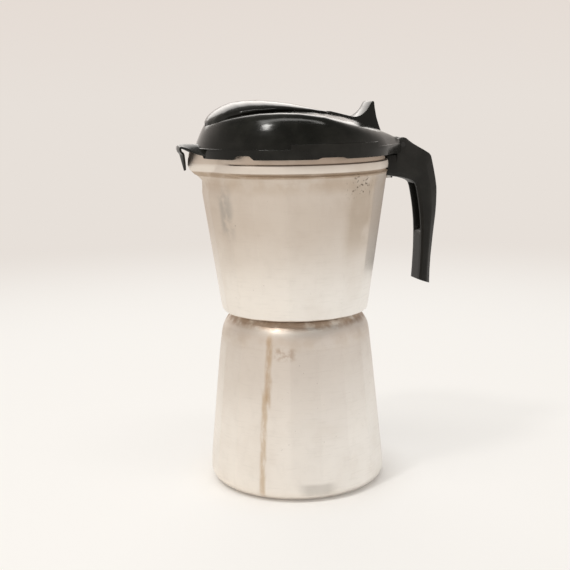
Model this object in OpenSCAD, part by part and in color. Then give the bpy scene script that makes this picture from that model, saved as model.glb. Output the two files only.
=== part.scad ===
// Stovetop moka pot: faceted boiler, funnel, strainer, faceted jug, handle and hinged lid.
// +Z is up. The origin is on the pot's axis, at the underside of the boiler.
// The spout points towards -X and the handle towards +X.

/* [Body] */
// Largest radius of the boiler, just above its foot
boiler_r = 55; // [54.5:0.1:55.5]
// Flat facets round the boiler and the jug
facets = 18; // [16:2:24]
// Thickness of the cast walls
wall = 3; // [2.5:0.1:3.2]
// Height of the boiler's neck rim above the base
rim_z = 118; // [117.8:0.1:118.2]

/* [Lid and handle] */
// Radius of the lid's skirt
lid_r = 60; // [59.9:0.1:60.5]
// Wall thickness of the moulded lid
lid_wall = 2; // [1.6:0.1:2.2]
// Width of the handle, across the pot
handle_w = 16.5; // [15.5:0.5:18]
// Radius of the hinge pin
pin_r = 1.5; // [1.2:0.1:1.8]

/* [Inside] */
// Radius of the coffee basket in the funnel
basket_r = 33.8; // [33:0.1:34]
// Rings of holes in each strainer
hole_rings = 4; // [2:1:5]
// Radius of a strainer hole
hole_r = 0.8; // [0.6:0.1:0.9]
// Radius of the column's bore
column_bore = 4; // [3.5:0.1:4.5]

/* [Hidden] */
$fn = 96;
slack = 0.4;

// Boiler
foot_fillet = 7.5;
boiler_taper = 0.1;
shoulder_r = 23;
shoulder_x = boiler_r - 30.95;
shoulder_z = 90.5;
neck_r = 38.4;
neck_z = 107.6;
neck_bore = 35.2;
boiler_floor = 4;
mid_z = 12;

// Safety valve, on the boiler's +Y side
valve_z = 62;
boss_y = 52;
boss_r = 8.5;
valve_hole = 4.5;
chamber_r = 3.3;
seat_y = 46;
nose_y = 61;
spring_coils = 6;
spring_r = 2.35;
wire_r = 0.35;

// Funnel and strainer
flange_t = 1.2;
sheet = 1.2;
basket_z = 93;
stem_r = 5.2;
stem_z = 9;
gasket_z = rim_z + flange_t;
gasket_t = 3.3;
gasket_r = 38.4;
lip_r = 30;
plate_r = 33.7;
plate_z = gasket_z + 1.6;
screen_z = basket_z + 0.6;

// Jug
jug_z = 108.5;
jug_taper = 0.1443;
jug_ref_z = 120;
jug_ref_r = 47.5;
skirt_bore = 38.9;
seat_z = gasket_z + gasket_t;
floor_z = 129;
facet_top = 194.5;
groove_top = 196.5;
band_top = 201;
rim_top = 208;
rim_r = 56.3;
rim_in = 53.6;
spout_x = -61.2;

// Handle and hinge
hinge_x = 69.5;
hinge_z = 209;
knuckle_r = 4;
knuckle_w = 8;
ear_r = 4.5;
tail_x = 66.8;
tail_w = 22;
fork_gap = knuckle_w + 2 * slack;
lug_w = 8;
screw_x = 62;

// Lid
skirt_z = 204.5;
flange_z = 210;
band_z = 213.2;
lever_w = 16.6;

function arc(cx, cz, r, a0, a1, steps) =
    [for (i = [0:steps]) [cx + r * cos(a0 + (a1 - a0) * i / steps),
                          cz + r * sin(a0 + (a1 - a0) * i / steps)]];
function jug_r_at(z) = jug_ref_r + jug_taper * (z - jug_ref_z);

// A frustum with flat sides, one facet centred on +X
module facet_frustum(r0, r1, z0, z1)
    translate([0, 0, z0])
        rotate([0, 0, 180 / facets])
            linear_extrude(height = z1 - z0, scale = r1 / r0)
                circle(r = r0, $fn = facets);

module ring(r_out, r_in, z0, z1)
    translate([0, 0, z0])
        difference() {
            cylinder(r = r_out, h = z1 - z0);
            translate([0, 0, -1])
                cylinder(r = r_in, h = z1 - z0 + 2);
        }

// A rod along +Y from y0 to y1, at the given x and z
module rod_y(r, y0, y1, x = 0, z = 0, sides = 48)
    translate([x, y0, z])
        rotate([-90, 0, 0])
            cylinder(r = r, h = y1 - y0, $fn = sides);

// Round holes in rings, for a strainer of the given thickness
module strainer_holes(z, t, spacing)
    translate([0, 0, z - 1]) {
        cylinder(r = hole_r, h = t + 2, $fn = 16);
        for (k = [1:hole_rings])
            for (i = [0:6 * k - 1])
                rotate([0, 0, 360 * i / (6 * k)])
                    translate([k * spacing, 0, 0])
                        cylinder(r = hole_r, h = t + 2, $fn = 16);
    }

// ---- Boiler ----
module boiler_outline()
    polygon(concat(
        [[0, 0]],
        arc(boiler_r - foot_fillet + 0.4, foot_fillet, foot_fillet, -90, 0, 8),
        [[boiler_r + 0.9, mid_z + 6], [boiler_r - 6.2, shoulder_z - 10]],
        arc(shoulder_x, shoulder_z, shoulder_r, 6, 48, 10),
        [[neck_r, neck_z], [0, neck_z]]));

module boiler_hollow()
    rotate_extrude()
        polygon(concat(
            [[0, boiler_floor]],
            arc(boiler_r - wall - 7, boiler_floor + 6, 6, -90, 0, 6),
            [[boiler_r - wall - 1.1, mid_z + 4], [boiler_r - wall - 9, shoulder_z],
             [neck_bore + 4, neck_z - 7], [neck_bore, neck_z - 3.5],
             [neck_bore, rim_z + 1], [0, rim_z + 1]]));

module boiler() color([0.78, 0.75, 0.71])
    difference() {
        union() {
            intersection() {
                rotate_extrude() boiler_outline();
                union() {
                    cylinder(r = boiler_r + 1, h = mid_z - 4);
                    facet_frustum(boiler_r + 0.35 + boiler_taper * mid_z,
                                  boiler_r + 0.35 - boiler_taper * (neck_z - mid_z), 0, neck_z);
                }
            }
            translate([0, 0, neck_z - 0.5])
                cylinder(r = neck_r, h = rim_z - neck_z + 0.5);
            rod_y(boss_r, 44, boss_y, 0, valve_z);
        }
        boiler_hollow();
        rod_y(valve_hole, 40, boss_y + 1, 0, valve_z);
    }

// ---- Safety valve ----
module valve_body() color([0.80, 0.62, 0.30])
    difference() {
        union() {
            rod_y(valve_hole - 0.05, seat_y - 2.5, boss_y + 1.3, 0, valve_z);
            rod_y(7.5, boss_y + 1.2, boss_y + 6, 0, valve_z, 6);
            rod_y(chamber_r + 1.5, boss_y + 5.9, nose_y, 0, valve_z);
        }
        rod_y(2, seat_y - 4, seat_y + 1, 0, valve_z);
        rod_y(chamber_r, seat_y, nose_y + 1, 0, valve_z);
    }

module valve_washer() color([0.45, 0.22, 0.16])
    difference() {
        rod_y(7.2, boss_y, boss_y + 1.2, 0, valve_z);
        rod_y(valve_hole + 0.1, boss_y - 1, boss_y + 2, 0, valve_z);
    }

module valve_retainer() color([0.72, 0.70, 0.66])
    difference() {
        rod_y(chamber_r - 0.03, nose_y - 1.5, nose_y, 0, valve_z);
        rod_y(1.28, nose_y - 3, nose_y + 1, 0, valve_z);
    }

module valve_pin() color([0.70, 0.69, 0.66]) {
    rod_y(2.8, seat_y, seat_y + 1.5, 0, valve_z);
    rod_y(1.2, seat_y + 1.4, nose_y + 1.8, 0, valve_z);
}

// A round wire swept along a helix whose axis is +Y
function coil_point(i, j, steps, sides, y0, y1) =
    let (t = i / steps, a = 360 * spring_coils * t, b = 360 * j / sides,
         r = spring_r + wire_r * cos(b))
    [r * cos(a), y0 + (y1 - y0) * t + wire_r * sin(b), valve_z + r * sin(a)];

module valve_spring() color([0.66, 0.65, 0.62]) {
    steps = spring_coils * 16;
    sides = 8;
    y0 = seat_y + 1.5 + wire_r + 0.05;
    y1 = nose_y - 1.5 - wire_r - 0.05;
    polyhedron(
        points = [for (i = [0:steps]) for (j = [0:sides - 1])
                      coil_point(i, j, steps, sides, y0, y1)],
        faces = concat(
            [[for (j = [0:sides - 1]) j]],
            [for (i = [0:steps - 1]) for (j = [0:sides - 1])
                [i * sides + j, (i + 1) * sides + j,
                 (i + 1) * sides + (j + 1) % sides, i * sides + (j + 1) % sides]],
            [[for (j = [sides - 1:-1:0]) steps * sides + j]]));
}

// ---- Funnel and strainer ----
module funnel() color([0.74, 0.73, 0.70])
    rotate_extrude()
        polygon([[stem_r - sheet, stem_z], [stem_r, stem_z],
                 [stem_r, basket_z - 14], [basket_r - 6, basket_z - 4], [basket_r, basket_z],
                 [basket_r, rim_z], [gasket_r - 0.4, rim_z], [gasket_r - 0.4, gasket_z],
                 [basket_r - sheet, gasket_z], [basket_r - sheet, basket_z + 0.6],
                 [basket_r - 6.6, basket_z - 2.7], [stem_r - sheet, basket_z - 12.6]]);

module funnel_screen() color([0.70, 0.69, 0.67])
    difference() {
        translate([0, 0, screen_z])
            cylinder(r = basket_r - sheet - 0.05, h = 0.8);
        strainer_holes(screen_z, 0.8, 6.6);
    }

module gasket() color([0.93, 0.91, 0.86])
    difference() {
        ring(gasket_r, lip_r, gasket_z, seat_z);
        translate([0, 0, plate_z])
            cylinder(r = plate_r + 0.3, h = gasket_t);
    }

module filter_plate() color([0.74, 0.73, 0.70])
    difference() {
        translate([0, 0, plate_z])
            cylinder(r = plate_r, h = seat_z - plate_z);
        translate([0, 0, plate_z + 0.8])
            cylinder(r = plate_r - 2, h = gasket_t);
        strainer_holes(plate_z, 0.8, 6.6);
    }

// ---- Jug ----
module jug_outline()
    polygon(concat(
        [[0, jug_z]],
        arc(42.9, jug_z + 3.5, 3.5, -90, 0, 6),
        [[jug_r_at(118) + 0.4, 118], [jug_r_at(facet_top) + 0.4, facet_top - 3],
         [jug_r_at(facet_top) - 0.4, facet_top], [rim_r + 0.5, facet_top + 0.6],
         [rim_r + 0.5, groove_top - 0.5]],
        arc(rim_r, (groove_top + band_top) / 2, (band_top - groove_top) / 2, -75, 75, 8),
        [[rim_r, band_top], [rim_r, rim_top], [0, rim_top]]));

module spout_mass(r, lift)
    hull() {
        translate([spout_x, 0, 200 + lift])
            cylinder(r = r, h = 14, $fn = 32);
        for (side = [-1, 1])
            translate([-50.5, side * 13, 199 + lift])
                cylinder(r = r, h = 15, $fn = 32);
        translate([spout_x + 3, 0, 196 + lift])
            sphere(r = r, $fn = 32);
        translate([-52.5, 0, 190 + lift])
            sphere(r = r * 0.7, $fn = 32);
    }

module jug_hollow()
    rotate_extrude()
        polygon(concat(
            [[0, floor_z + 4], [12, floor_z + 3], [24, floor_z]],
            arc(jug_r_at(floor_z) - wall - 6.4, floor_z + 6, 6, -90, -8, 6),
            [[rim_in, groove_top], [rim_in, rim_top + 1], [0, rim_top + 1]]));

// The room under the floor: the thread's bore, the strainer's seat and the way to the column
module jug_underside()
    rotate_extrude()
        polygon([[0, jug_z - 1], [skirt_bore, jug_z - 1], [skirt_bore, seat_z],
                 [plate_r - 2, seat_z], [8, floor_z - 3], [0, floor_z - 3]]);

module jug() color([0.80, 0.77, 0.73])
    difference() {
        union() {
            intersection() {
                rotate_extrude() jug_outline();
                union() {
                    facet_frustum(jug_r_at(jug_z), jug_r_at(facet_top + 0.2), jug_z, facet_top + 0.2);
                    translate([0, 0, facet_top])
                        cylinder(r = lid_r, h = rim_top - facet_top);
                }
            }
            intersection() {
                spout_mass(4.2, 0);
                translate([-80, -30, 180])
                    cube([40, 60, rim_top - 0.4 - 180]);
            }
            // The cast lug that the handle's arm fits over
            translate([54.5, -lug_w / 2, 191.5])
                cube([12, lug_w, 11]);
        }
        jug_hollow();
        jug_underside();
        spout_mass(2.2, 2.5);
        // The column's seat, and the screw's hole in the lug
        cylinder(r = column_bore + 1.6, h = floor_z + 10);
        translate([screw_x, 0, 190])
            cylinder(r = 1.55, h = 9.5, $fn = 32);
    }

module column() color([0.78, 0.76, 0.72]) {
    foot = floor_z - 3;
    top = 192;
    difference() {
        union() {
            translate([0, 0, foot])
                cylinder(r = column_bore + 1.55, h = 8);
            translate([0, 0, floor_z + 4.2])
                cylinder(r1 = column_bore + 3.6, r2 = column_bore + 1.4, h = top - floor_z - 4.2);
            translate([0, 0, top])
                intersection() {
                    sphere(r = column_bore + 1.4);
                    cylinder(r = 10, h = 10);
                }
        }
        translate([0, 0, foot - 1])
            cylinder(r = column_bore, h = top - foot + 1);
        for (side = [-1, 1])
            translate([0, side * 5, top - 5])
                cube([4.5, 10, 8], center = true);
    }
}

// ---- Handle ----
module handle_outline()
    polygon(concat(
        [[57.4, 203], [67.4, 203]],
        arc(hinge_x, hinge_z, ear_r, 245, 75, 10),
        [[75.2, 210.5], [89.6, 202.4], [91.3, 196], [94.2, 181], [93.7, 168], [92.3, 155],
         [89, 120.6], [81.3, 122.6], [82.3, 140], [82.7, 158], [80.7, 174], [78.3, 184.2],
         [74.6, 186.8], [65.5, 188.9], [57.4, 190]]));

module handle() color([0.15, 0.155, 0.155])
    difference() {
        rotate([90, 0, 0])
            linear_extrude(height = handle_w, center = true)
                handle_outline();
        // The slot between the two ears, for the lid's knuckle
        translate([60, -fork_gap / 2, hinge_z - knuckle_r - 1])
            cube([hinge_x + knuckle_r + 0.8 - 60, fork_gap, 20]);
        rod_y(pin_r + 0.02, -20, 20, hinge_x, hinge_z);
        // The socket for the jug's lug
        translate([50, -lug_w / 2 - 0.2, 191.3])
            cube([16.8, lug_w + 0.4, 11.5]);
        // The channel down the inside of the grip
        translate([0, 0, 153])
            rotate([0, 4, 0])
                translate([70, -5, 0])
                    cube([12.5, 10, 27]);
        translate([screw_x, 0, 186])
            cylinder(r = 1.8, h = 8, $fn = 32);
        translate([screw_x, 0, 186])
            cylinder(r = 3.4, h = 3.9, $fn = 32);
        // Room for the jug's round wall and collar
        cylinder(r = rim_r + 2.5, h = 260);
    }

module handle_screw() color([0.6, 0.6, 0.6])
    difference() {
        union() {
            translate([screw_x, 0, 188.2])
                cylinder(r = 3.2, h = 1.7, $fn = 32);
            translate([screw_x, 0, 189.8])
                cylinder(r = 1.5, h = 9, $fn = 32);
        }
        translate([screw_x - 4, -0.5, 187])
            cube([8, 1, 2]);
    }

module hinge_pin() color([0.62, 0.62, 0.6])
    rod_y(pin_r, -handle_w / 2 + 0.3, handle_w / 2 - 0.3, hinge_x, hinge_z);

// ---- Lid ----
// The lid's smooth dome, drawn in by the given thickness
module dome(inset)
    hull() {
        translate([0, 0, flange_z - 2.5])
            cylinder(r = lid_r - 0.6 - inset, h = 2.5, $fn = 64);
        translate([-3, 0, 217 - inset * 0.5])
            cylinder(r = 55.4 - inset, h = 1, $fn = 48);
        translate([-9, 0, 222 - inset * 0.7])
            cylinder(r = 48.4 - inset, h = 1, $fn = 40);
        translate([-12, 0, 226 - inset])
            cylinder(r = 41 - inset, h = 0.6, $fn = 36);
        translate([-13, 0, 229.8 - inset])
            cylinder(r = 26, h = 0.6, $fn = 32);
        translate([60, inset - tail_w / 2, flange_z - 2.5])
            cube([tail_x - 60 - inset, tail_w - 2 * inset, 5.1 - inset]);
    }

module beak() {
    // The roof over the spout, from the skirt to the nose
    hull() {
        translate([-58, -17, 208.2])
            cube([2, 34, 1.6]);
        translate([-58, -5, 210])
            cube([2, 10, 2.2]);
        translate([-70.2, -5.5, 209.6])
            cube([1, 11, 1.6]);
        translate([-70.2, -1, 211.4])
            cube([1, 2, 1.8]);
    }
    // The rolled nose
    rod_y(2.6, -6, 6, -70.1, 210.4);
    // The hanging drip tongue in front of the spout's lip
    hull() {
        translate([-68.6, -6, 207.5])
            cube([1.4, 12, 2]);
        translate([-68.2, -0.6, 196.5])
            cube([1.2, 1.2, 1]);
    }
}

module lid_shell() color([0.13, 0.135, 0.13])
    difference() {
        union() {
            difference() {
                union() {
                    dome(0);
                    translate([0, 0, skirt_z])
                        cylinder(r = lid_r, h = flange_z - skirt_z);
                    // The taller stretches of skirt, one on each side of the lid
                    for (start = [-107, 51])
                        rotate([0, 0, start])
                            rotate_extrude(angle = 56)
                                polygon([[lid_r - 4, skirt_z + 1], [lid_r + 0.3, skirt_z + 1],
                                         [lid_r + 0.3, band_z - 0.6], [lid_r - 0.4, band_z],
                                         [lid_r - 4, band_z]]);
                    beak();
                    // The tail's lower part, which reaches down as far as the skirt
                    translate([52, -tail_w / 2, skirt_z])
                        cube([tail_x - 52, tail_w, flange_z - skirt_z]);
                }
                intersection() {
                    dome(lid_wall);
                    translate([-80, -70, flange_z - 1.6])
                        cube([138, 140, 30]);
                }
                translate([0, 0, skirt_z - 8])
                    cylinder(r = lid_r - 1.8, h = flange_z - skirt_z + 6.5);
                // The way out to the spout, under the beak
                translate([-66.6, -12.6, 200])
                    cube([14, 25.2, 8.2]);
                // Room for the handle's round ears
                rod_y(ear_r + 0.65, -handle_w / 2 - slack, handle_w / 2 + slack, hinge_x, hinge_z);
            }
            // The knuckle on its neck
            rod_y(knuckle_r, -knuckle_w / 2, knuckle_w / 2, hinge_x, hinge_z);
            translate([60, -knuckle_w / 2, hinge_z - 2.6])
                cube([hinge_x - 60, knuckle_w, 5.8]);
        }
        rod_y(pin_r + 0.07, -20, 20, hinge_x, hinge_z);
    }

module crest_mass()
    hull() {
        translate([-30, 0, 224])
            scale([24, 25, 14])
                sphere(r = 1, $fn = 32);
        translate([-8, 0, 225])
            scale([16, 20, 11.4])
                sphere(r = 1, $fn = 32);
        translate([13, 0, 226])
            scale([9, 11, 5])
                sphere(r = 1, $fn = 32);
    }

module lid_crest() color([0.17, 0.175, 0.17])
    difference() {
        crest_mass();
        dome(0);
    }

module thumb_lever() color([0.13, 0.135, 0.13])
    difference() {
        rotate([90, 0, 0])
            linear_extrude(height = lever_w, center = true)
                polygon([[18, 224], [18, 230.6], [22, 230.4], [34.3, 227.3], [37.5, 226.6],
                         [41, 227.2], [44, 228.8], [46.6, 231.4], [49, 236], [50.4, 236],
                         [51.4, 228], [54.6, 217.6], [54.6, 214], [30, 214]]);
        dome(0);
        crest_mass();
    }

module lever_screws() color([0.6, 0.6, 0.6])
    for (x = [30, 46])
        translate([x, 0, 211])
            cylinder(r = 1.5, h = 6, $fn = 32);

boiler();
valve_body();
valve_washer();
valve_spring();
valve_retainer();
valve_pin();
funnel();
funnel_screen();
gasket();
filter_plate();
jug();
column();
handle();
handle_screw();
hinge_pin();
lid_shell();
lid_crest();
thumb_lever();
lever_screws();
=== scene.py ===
# %% [markdown]
# # A stovetop moka pot
# The pot is a cast aluminium boiler and jug that screw together, with a funnel and strainer between them,
# a black hinged lid and a black handle. The packed CAD model is the fixed frame: it says where everything is
# and how it moves. This script gives the pot its visible surfaces, its materials, its light and its camera.

# %% Load the packed pot
import math
import bpy
from mathutils import Matrix, Vector


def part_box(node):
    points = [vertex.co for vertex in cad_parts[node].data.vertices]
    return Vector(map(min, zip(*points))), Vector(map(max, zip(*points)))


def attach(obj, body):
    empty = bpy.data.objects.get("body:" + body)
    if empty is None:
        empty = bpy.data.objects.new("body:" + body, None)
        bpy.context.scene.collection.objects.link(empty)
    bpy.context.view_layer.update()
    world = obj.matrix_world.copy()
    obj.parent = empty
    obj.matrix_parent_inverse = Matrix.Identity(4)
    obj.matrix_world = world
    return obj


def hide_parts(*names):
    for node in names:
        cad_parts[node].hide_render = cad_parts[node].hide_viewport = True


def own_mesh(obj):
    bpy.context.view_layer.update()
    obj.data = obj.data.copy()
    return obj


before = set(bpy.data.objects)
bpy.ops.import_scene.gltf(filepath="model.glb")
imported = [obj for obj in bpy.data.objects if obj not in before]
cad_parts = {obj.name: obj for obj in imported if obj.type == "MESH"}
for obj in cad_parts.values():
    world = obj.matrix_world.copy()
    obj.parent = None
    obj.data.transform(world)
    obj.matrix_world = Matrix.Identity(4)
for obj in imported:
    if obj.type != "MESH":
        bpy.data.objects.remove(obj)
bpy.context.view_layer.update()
MM = 0.001
print("nodes in the frame:", sorted(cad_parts))

# %% [markdown]
# ## The camera
# The camera stands a little above the middle of the pot and looks slightly down. The handle is turned away from
# it, so the camera goes round the pot by that angle. A long lens keeps the perspective calm.

# %% Place the camera
HANDLE_TURN = math.radians(16)
CAMERA_DISTANCE = 0.620
CAMERA_HEIGHT = 0.2379
LENS_MM = 63.16
SENSOR_MM = 36
LOOK_LEFT = math.radians(0.58)
LOOK_DOWN = math.radians(10.51)
LEAN = math.radians(-0.94)
camera_data = bpy.data.cameras.new("camera")
camera_data.sensor_width = SENSOR_MM
camera_data.lens = LENS_MM
camera_data.clip_start = 0.01
camera = bpy.data.objects.new("camera", camera_data)
bpy.context.scene.collection.objects.link(camera)
camera.location = (-CAMERA_DISTANCE * math.sin(HANDLE_TURN),
                   -CAMERA_DISTANCE * math.cos(HANDLE_TURN), CAMERA_HEIGHT)
heading = Matrix.Rotation(-HANDLE_TURN + LOOK_LEFT, 3, "Z")
tilt = Matrix.Rotation(math.radians(90) - LOOK_DOWN, 3, "X")
lean = Matrix.Rotation(LEAN, 3, "Z")
camera.rotation_euler = (heading @ tilt @ lean).to_euler()
bpy.context.scene.camera = camera
print("camera at", tuple(round(c, 3) for c in camera.location))

# %% [markdown]
# ## Helpers for cleaning a mesh
# An operator acts on all that is selected, so each helper first says what that is. A mesh is cleaned in edit
# mode: vertices that lie in one place are merged, open ends are filled, and the faces are turned outwards.

# %% Select, clean and smooth
DOUBLES = 0.00001


def select_only(*chosen):
    """Leaves object mode selected on the given objects only. The frame's nodes arrive selected."""
    if bpy.context.object and bpy.context.object.mode != "OBJECT":
        bpy.ops.object.mode_set(mode="OBJECT")
    bpy.ops.object.select_all(action="DESELECT")
    for piece in chosen:
        piece.select_set(True)
    if chosen:
        bpy.context.view_layer.objects.active = chosen[0]


def tidy_mesh(piece, merge=DOUBLES, recalculate=True):
    """Merges doubled vertices and turns every face outwards."""
    select_only(piece)
    bpy.ops.object.mode_set(mode="EDIT")
    bpy.ops.mesh.select_all(action="SELECT")
    bpy.ops.mesh.remove_doubles(threshold=merge)
    if recalculate:
        bpy.ops.mesh.normals_make_consistent(inside=False)
    bpy.ops.object.mode_set(mode="OBJECT")


def close_ends(piece):
    """Merges a wrapped grid's seam and fills the holes that are left at its ends."""
    tidy_mesh(piece, recalculate=False)
    bpy.ops.object.mode_set(mode="EDIT")
    bpy.ops.mesh.select_all(action="SELECT")
    bpy.ops.mesh.fill_holes(sides=0)
    bpy.ops.object.mode_set(mode="OBJECT")
    tidy_mesh(piece)


def smooth(piece, angle=32):
    """Shades smooth across edges that turn by less than the angle."""
    select_only(piece)
    bpy.ops.object.shade_smooth_by_angle(angle=math.radians(angle))


def apply_modifiers(piece):
    select_only(piece)
    for modifier in list(piece.modifiers):
        bpy.ops.object.modifier_apply(modifier=modifier.name)


def named(name):
    """Names the object that an operator has just added."""
    piece = bpy.context.object
    piece.name = piece.data.name = name
    return piece


print("doubles are merged within", DOUBLES / MM, "mm")

# %% [markdown]
# ## Helpers for making a mesh
# Three ways of making a mesh cover the whole pot. A turned piece is an outline spun round the pot's axis. A
# shaped grid is a flat grid whose crossings are moved onto a surface, for forms that no lathe could make. A
# bevelled block is a cube whose edges are rounded. Everything is given in millimetres.

# %% Turn an outline, or shape a grid
ROUND_STEPS = 360


def turned(name, outline, steps=ROUND_STEPS, closed=True):
    """Spins an outline of (radius, height) points round the pot's axis."""
    select_only()
    bpy.ops.mesh.primitive_circle_add(vertices=len(outline), radius=1, fill_type="NOTHING")
    piece = named(name)
    for vertex, (radius, height) in zip(piece.data.vertices, outline):
        vertex.co = Vector((radius, 0, height)) * MM
    bpy.ops.object.mode_set(mode="EDIT")
    if not closed:
        bpy.ops.mesh.select_all(action="DESELECT")
        bpy.ops.mesh.select_mode(type="EDGE")
        bpy.ops.object.mode_set(mode="OBJECT")
        ends = {0, len(outline) - 1}
        for edge in piece.data.edges:
            edge.select = set(edge.vertices) == ends
        bpy.ops.object.mode_set(mode="EDIT")
        bpy.ops.mesh.delete(type="EDGE")
        bpy.ops.mesh.select_mode(type="VERT")
    bpy.ops.mesh.select_all(action="SELECT")
    bpy.ops.mesh.spin(steps=steps, angle=2 * math.pi, center=(0, 0, 0), axis=(0, 0, 1))
    bpy.ops.object.mode_set(mode="OBJECT")
    tidy_mesh(piece)
    return piece


def shaped_grid(name, columns, rows, place):
    """Adds a grid and moves each crossing to place(u, v), where u and v run from 0 to 1."""
    select_only()
    bpy.ops.mesh.primitive_grid_add(x_subdivisions=columns, y_subdivisions=rows, size=2)
    piece = named(name)
    for vertex in piece.data.vertices:
        vertex.co = Vector(place((vertex.co.x + 1) / 2, (vertex.co.y + 1) / 2)) * MM
    return piece


def move_points(piece, rule):
    """Moves every vertex by a rule that takes and returns millimetres."""
    for vertex in piece.data.vertices:
        vertex.co = Vector(rule(*(vertex.co / MM))) * MM


print("a turned piece has", ROUND_STEPS, "steps round")

# %% [markdown]
# Blocks, drums and cuts do the rest. A Bevel modifier rounds a block's edges, a Solidify modifier gives a bent
# sheet its wall, and a Boolean modifier cuts holes. Each is applied at once, so that the next step sees it.

# %% Round, thicken, cut and join
def bevelled(piece, width, segments=3, angle=35):
    bevel = piece.modifiers.new("soft edges", "BEVEL")
    bevel.width = width * MM
    bevel.segments = segments
    bevel.limit_method = "ANGLE"
    bevel.angle_limit = math.radians(angle)
    apply_modifiers(piece)
    return piece


def walled(piece, thickness):
    """Thickens a sheet towards its inside."""
    wall = piece.modifiers.new("wall", "SOLIDIFY")
    wall.thickness = thickness * MM
    wall.offset = -1
    apply_modifiers(piece)


def block(name, low, high, round_by=0.0):
    """A bevelled block between two corners."""
    select_only()
    centre = [(a + b) / 2 * MM for a, b in zip(low, high)]
    bpy.ops.mesh.primitive_cube_add(size=1, location=centre)
    piece = named(name)
    piece.scale = [(b - a) * MM for a, b in zip(low, high)]
    bpy.ops.object.transform_apply(location=True, rotation=True, scale=True)
    if round_by:
        bevelled(piece, round_by)
    return piece


def drum(name, radius, start, end, sides=64):
    """A cylinder between two points, flat at both ends."""
    select_only()
    a, b = Vector(start) * MM, Vector(end) * MM
    turn = (b - a).to_track_quat("Z", "Y").to_euler()
    bpy.ops.mesh.primitive_cylinder_add(vertices=sides, radius=radius * MM, depth=(b - a).length,
                                        location=(a + b) / 2, rotation=turn)
    piece = named(name)
    bpy.ops.object.transform_apply(location=True, rotation=True, scale=True)
    return piece


def combine(piece, tool, operation, solver="EXACT"):
    """Joins a tool's shape to the piece or takes it out, and deletes the tool."""
    step = piece.modifiers.new("combine", "BOOLEAN")
    step.operation = operation
    step.solver = solver
    step.object = tool
    apply_modifiers(piece)
    bpy.data.objects.remove(tool)


def cut(piece, *tools, solver="EXACT"):
    for tool in tools:
        combine(piece, tool, "DIFFERENCE", solver)


print("modifiers that are applied at once: Bevel, Solidify, Boolean")

# %% [markdown]
# ## Helpers for outlines and curves
# An outline is a list of points, built from arcs and straight lines. A shape that changes along the pot is read
# off a short table of measured points, and two surfaces meet in a rounded corner instead of a sharp crease.

# %% Draw outlines and read tables
def arc(centre_r, centre_z, radius, start, end, steps):
    """Points along an arc in the outline's plane, with angles in degrees."""
    turn = [math.radians(start + (end - start) * i / steps) for i in range(steps + 1)]
    return [(centre_r + radius * math.cos(a), centre_z + radius * math.sin(a)) for a in turn]


def line(start, end, steps):
    """Points along a straight line, without its first point."""
    return [tuple(a + (b - a) * i / steps for a, b in zip(start, end)) for i in range(1, steps + 1)]


def blend_low(a, b, soft):
    """The lower of two numbers, with a rounded corner where they cross."""
    overlap = max(soft - abs(a - b), 0) / soft
    return min(a, b) - overlap * overlap * soft / 4


def ease(value, low, high):
    """Rises smoothly from 0 at low to 1 at high."""
    t = min(max((value - low) / (high - low), 0), 1)
    return t * t * (3 - 2 * t)


def between(value, points):
    """Reads a height off the straight lines between (position, height) points."""
    if value <= points[0][0]:
        return points[0][1]
    for (x0, y0), (x1, y1) in zip(points, points[1:]):
        if value <= x1:
            t = (value - x0) / (x1 - x0)
            return y0 + (y1 - y0) * t
    return points[-1][1]


def finish_piece(piece, body, slot, material, *replaced):
    """Gives a new piece its material, its body and the CAD nodes it stands for. Its slot is not used."""
    piece.data.materials.clear()
    piece.data.materials.append(material)
    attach(piece, body)
    if replaced:
        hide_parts(*replaced)
    print(piece.name, "on", body, "with", len(piece.data.polygons), "faces")


print("halfway along a line from 0 to 1:", between(0.5, [(0, 0), (1, 1)]), "and eased:", ease(0.25, 0, 1))
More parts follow.
